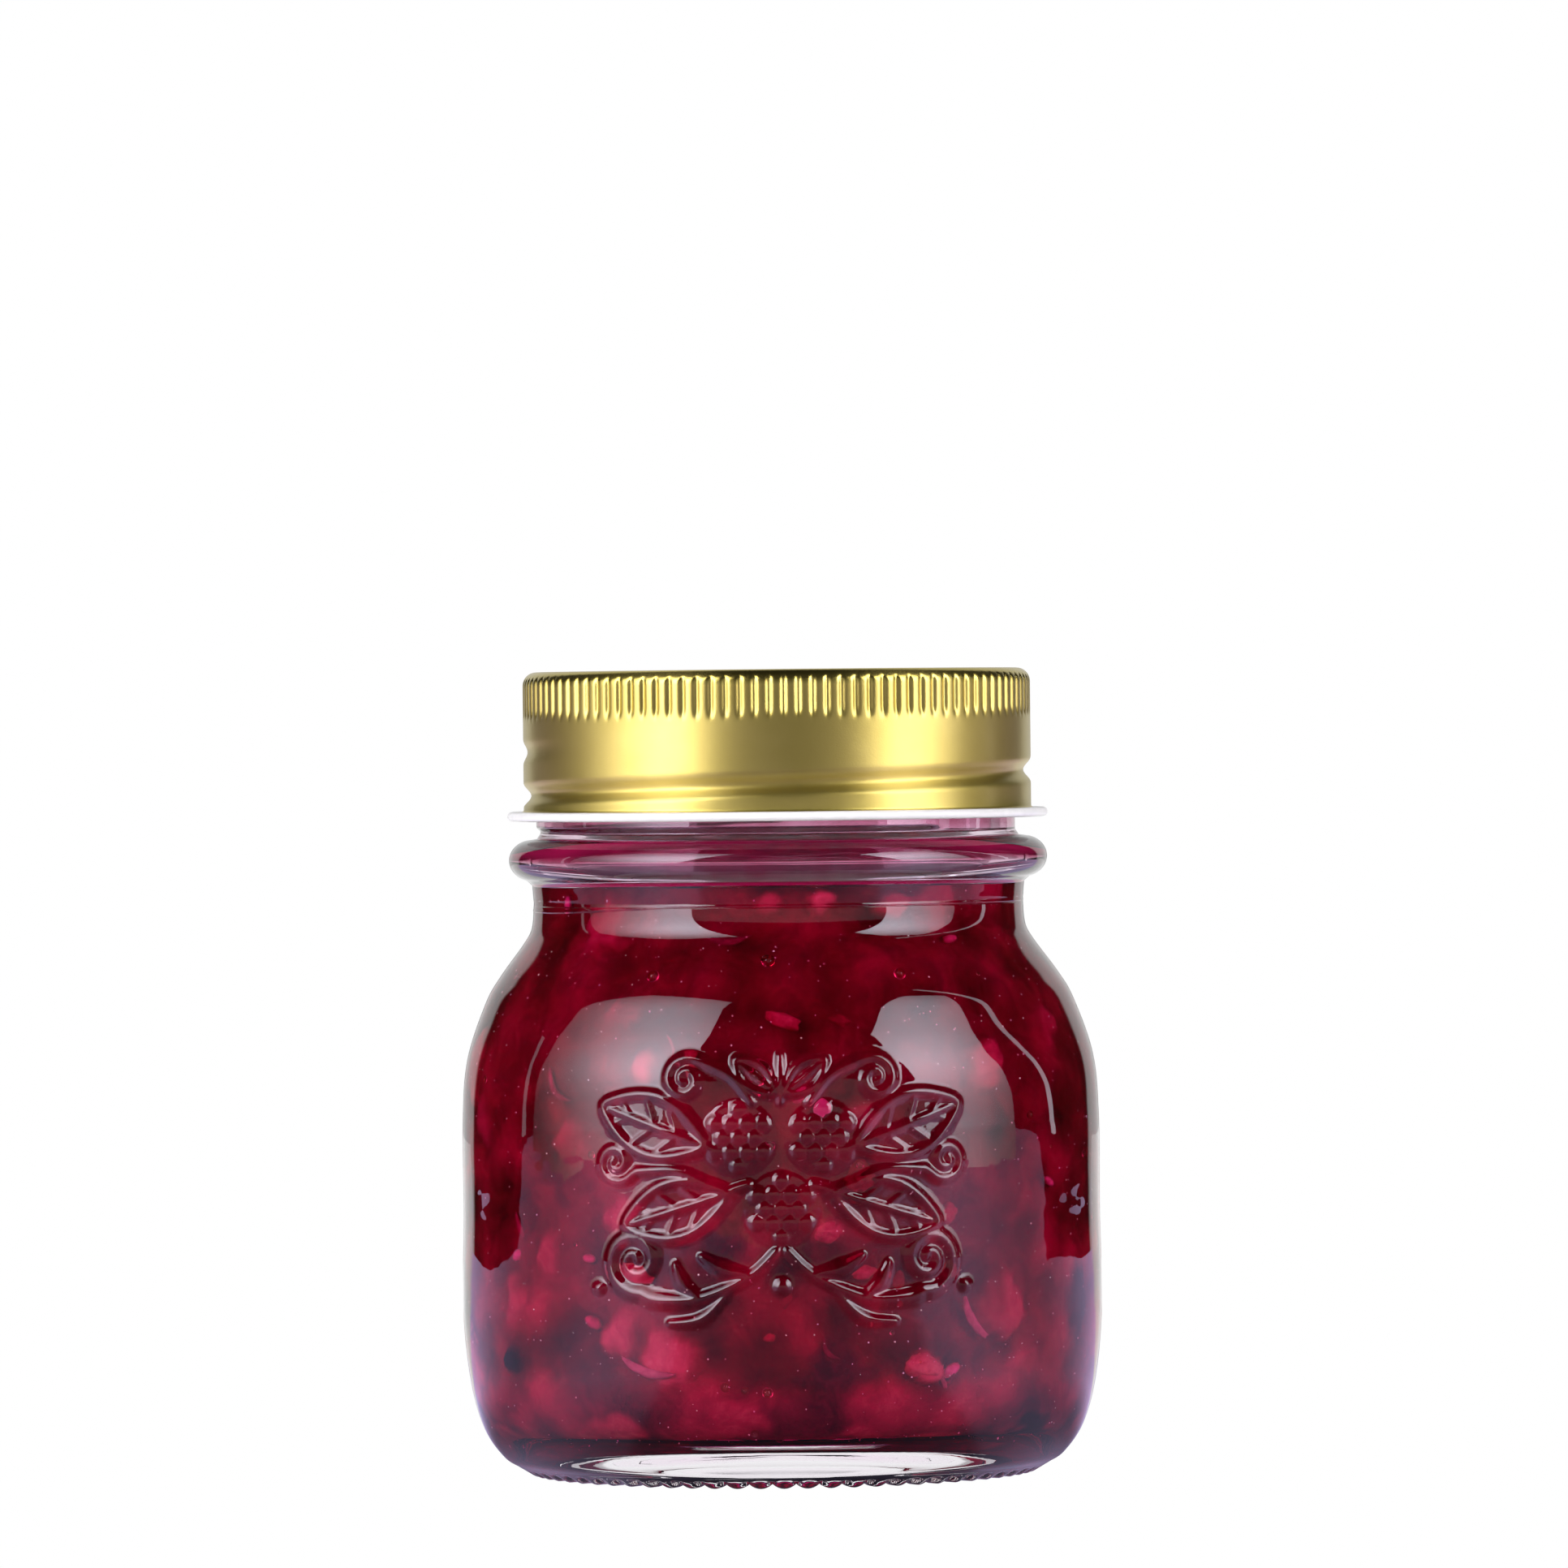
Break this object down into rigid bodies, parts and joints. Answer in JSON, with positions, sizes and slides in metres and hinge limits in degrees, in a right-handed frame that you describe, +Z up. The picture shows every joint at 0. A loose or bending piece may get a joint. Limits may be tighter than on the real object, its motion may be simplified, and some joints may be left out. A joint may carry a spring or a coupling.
{
  "type": "screw-top glass jar of berry jam",
  "caption": "Small round preserving jar of clear glass, filled with dark red berry jam and shut with a gold metal screw lid.",
  "frame": {"origin": "centre of the base ring, on the surface the jar stands on", "axes": "+Z up along the jar's axis, -Y towards the front with the raised ornament, +X to the right"},
  "size_m": [0.0662, 0.0665, 0.0831],
  "materials": {
    "clear_glass": "clear moulded soda-lime glass, fire polished",
    "berry_jam": "dark red translucent set jam with pieces of berry",
    "gold_lid": "gold lacquered tinplate, satin, with a white lacquered turned-out hem"
  },
  "bodies": {
    "root": {"glass_jar": "clear_glass", "berry_jam": "berry_jam", "screw_lid": "gold_lid"}
  },
  "joints": []
}
